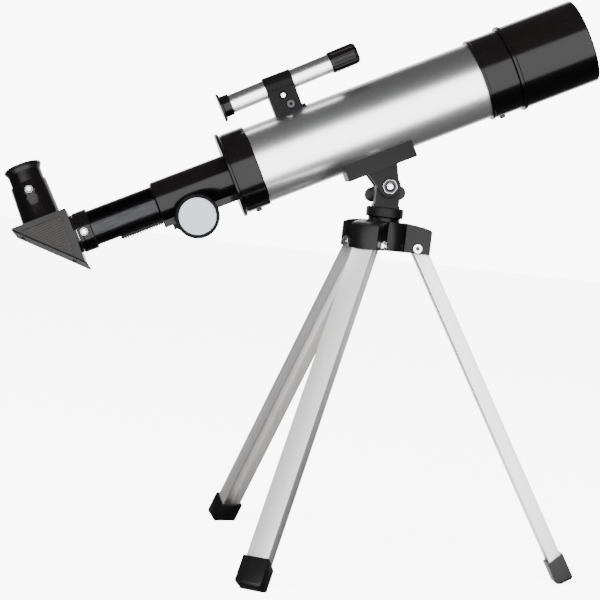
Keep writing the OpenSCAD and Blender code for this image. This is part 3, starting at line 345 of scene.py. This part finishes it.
FINISHES = {
    "tube_paint": flake_paint(),
    "black_plastic": moulded(
        "gloss_black_moulding", low=(0.0032, 0.0026, 0.0026), high=(0.0052, 0.0044, 0.0044),
        smooth=0.14, rough=0.2, grain=900.0, depth=0.000004, ior=1.28,
    ),
    "head_plastic": moulded(
        "satin_black_moulding", low=(0.004, 0.004, 0.0042), high=(0.010, 0.009, 0.0095),
        smooth=0.36, rough=0.46, grain=2400.0, depth=0.00003, ior=1.2,
    ),
    "flat_black": moulded(
        "flat_black_lining", low=(0.004, 0.004, 0.004), high=(0.008, 0.008, 0.008),
        smooth=0.75, rough=0.9, grain=1800.0, depth=0.00004,
    ),
    "soft_rubber": moulded(
        "soft_rubber", low=(0.003, 0.003, 0.0032), high=(0.007, 0.0065, 0.0065),
        smooth=0.3, rough=0.42, grain=1500.0, depth=0.00003, ior=1.28,
    ),
    "lens_glass": clear_glass(),
    "bright_metal": turned_metal(
        "bright_plate", low=(0.72, 0.72, 0.73), high=(0.84, 0.84, 0.85),
        smooth=0.10, rough=0.2,
    ),
    "black_steel": turned_metal(
        "blackened_steel", low=(0.02, 0.02, 0.022), high=(0.05, 0.05, 0.055),
        smooth=0.25, rough=0.35,
    ),
    "fastener_steel": turned_metal(
        "zinc_steel", low=(0.38, 0.38, 0.39), high=(0.55, 0.55, 0.56),
        smooth=0.25, rough=0.35,
    ),
    "pale_disc": moulded(
        "pale_disc_plastic", low=(0.76, 0.82, 0.93), high=(0.80, 0.86, 0.97),
        smooth=0.30, rough=0.38, grain=260.0, depth=0.00001,
    ),
    "mirror_glass": turned_metal(
        "mirror", low=(0.88, 0.90, 0.92), high=(0.92, 0.94, 0.96),
        smooth=0.02, rough=0.04,
    ),
    "draw_metal": brushed(
        "black_anodised", ALONG_TUBE, low=(0.012, 0.012, 0.013), high=(0.03, 0.03, 0.032),
        smooth=0.18, rough=0.26, depth=0.00001,
    ),
}
HUB_FINISH = moulded(
    "hub_moulding", low=(0.003, 0.003, 0.0032), high=(0.006, 0.006, 0.0065),
    smooth=0.26, rough=0.34, grain=1600.0, depth=0.00001, ior=1.25,
)
LEG_FINISH = {
    name: brushed(
        "leg_aluminium_" + name, along_leg(turn), low=(0.72, 0.71, 0.70),
        high=(0.83, 0.82, 0.81), smooth=0.34, rough=0.44, depth=0.00002, metal=0.5,
    )
    for name, turn in LEG_TURNS.items()
}
KNOB_FINISH = moulded(
    "knob_grip", low=(0.003, 0.003, 0.003), high=(0.006, 0.006, 0.006),
    smooth=0.5, rough=0.6, grain=1400.0, depth=0.00002, ior=1.15,
)
BRACKET_FINISH = moulded(
    "bracket_moulding", low=(0.003, 0.003, 0.003), high=(0.006, 0.0055, 0.0055),
    smooth=0.22, rough=0.3, grain=1400.0, depth=0.00001, ior=1.15,
)
# Pieces that differ from the rest of their slot, and the legs, each with its own grain
PIECE_FINISH = {
    "diagonal_cover_plate": KNOB_FINISH,
    "finder_bracket": BRACKET_FINISH,
    "pinion_cover": BRACKET_FINISH,
    "focus_knob_near": KNOB_FINISH,
    "focus_knob_far": KNOB_FINISH,
    "diagonal_housing": FINISHES["black_plastic"],
    "tripod_hub": HUB_FINISH,
    "tilt_knob": HUB_FINISH,
    "diagonal_panels": hatched_plate(),
    "leg_front": LEG_FINISH["front"],
    "leg_right": LEG_FINISH["right"],
    "leg_rear": LEG_FINISH["rear"],
}


def finish_of(node):
    return PIECE_FINISH.get(node) or FINISHES[SLOT_OF[node]]


def dress(piece, material):
    piece.data.materials.clear()
    piece.data.materials.append(material)


# ---- Pieces ----

BEVEL_STEPS = 2
SHARP_ANGLE = math.radians(32)
FLAT_ANGLE = math.radians(0.3)
JOIN_DISTANCE = 0.000002


# Copies a CAD piece, joins its loose triangles and rounds its sharp edges by a width in mm
def soften(node, width):
    bpy.ops.object.select_all(action="DESELECT")
    source = NODES[node]
    source.select_set(True)
    bpy.context.view_layer.objects.active = source
    bpy.ops.object.duplicate()
    piece = bpy.context.object
    piece.name = node + "_softened"
    del piece["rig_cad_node"]
    bpy.ops.object.mode_set(mode="EDIT")
    bpy.ops.mesh.select_all(action="SELECT")
    bpy.ops.mesh.customdata_custom_splitnormals_clear()
    bpy.ops.mesh.remove_doubles(threshold=JOIN_DISTANCE)
    bpy.ops.mesh.dissolve_limited(angle_limit=FLAT_ANGLE)
    bpy.ops.mesh.normals_make_consistent(inside=False)
    bpy.ops.object.mode_set(mode="OBJECT")
    edge = piece.modifiers.new("edge", "BEVEL")
    edge.width = width * MM
    edge.segments = BEVEL_STEPS
    edge.limit_method = "ANGLE"
    edge.angle_limit = SHARP_ANGLE
    edge.use_clamp_overlap = True
    bpy.ops.object.modifier_apply(modifier="edge")
    bpy.ops.object.shade_smooth_by_angle(angle=SHARP_ANGLE)
    dress(piece, finish_of(node))
    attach(piece, BODY_OF[node])
    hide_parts(node)
    return piece


# Width of the rounded edges of each softened piece, in mm
SOFT_EDGES = {
    "tripod_hub": 0.7, "tube_saddle": 0.5, "pan_yoke": 0.5, "tilt_knob": 0.8,
    "leg_front": 0.35, "leg_right": 0.35, "leg_rear": 0.35,
    "foot_front": 0.8, "foot_right": 0.8, "foot_rear": 0.8,
    "diagonal_housing": 0.4, "pinion_cover": 0.5, "focuser_housing": 0.4,
    "finder_bracket": 0.3, "tilt_nut": 0.5, "tilt_bolt": 0.9, "leg_nuts": 0.25,
    "leg_bolts": 0.3,
}

# Reach from the joint's axis, and nearest and furthest place along it, in mm, of each recess
# that gets painted shade
BOLT_SOCKET = (1.75, -12.95, -10.9)
NUT_SINK = (3.8, 10, 20)


# Paints shade into the faces of a metal piece that lie within a joint's recess, using the
# blackened steel finish as painted shade
def paint_recess_shade(piece, joint, recess):
    reach, nearest, furthest = (length * MM for length in recess)
    middle, axis = Vector(joint["pos_m"]), Vector(joint["axis"])
    dark = FINISHES["black_steel"]
    if dark.name not in piece.data.materials:
        piece.data.materials.append(dark)
    for face in piece.data.polygons:
        out = face.center - middle
        along = out.dot(axis)
        if (out - axis * along).length < reach and nearest < along < furthest:
            face.material_index = piece.data.materials.find(dark.name)


def soften_pieces():
    softened = {node: soften(node, width) for node, width in SOFT_EDGES.items()}
    joints = {joint["name"]: joint for joint in frame["joints"]}
    # The sockets of the leg bolts and the sink of the tilt nut get painted shade
    for leg in LEG_TURNS:
        paint_recess_shade(softened["leg_bolts"], joints[leg + "_leg_fold"], BOLT_SOCKET)
    paint_recess_shade(softened["tilt_nut"], joints["tilt"], NUT_SINK)


def dress_cad():
    for node, piece in NODES.items():
        dress(piece, finish_of(node))


add_camera()
add_room()
add_lights()
dress_cad()
soften_pieces()
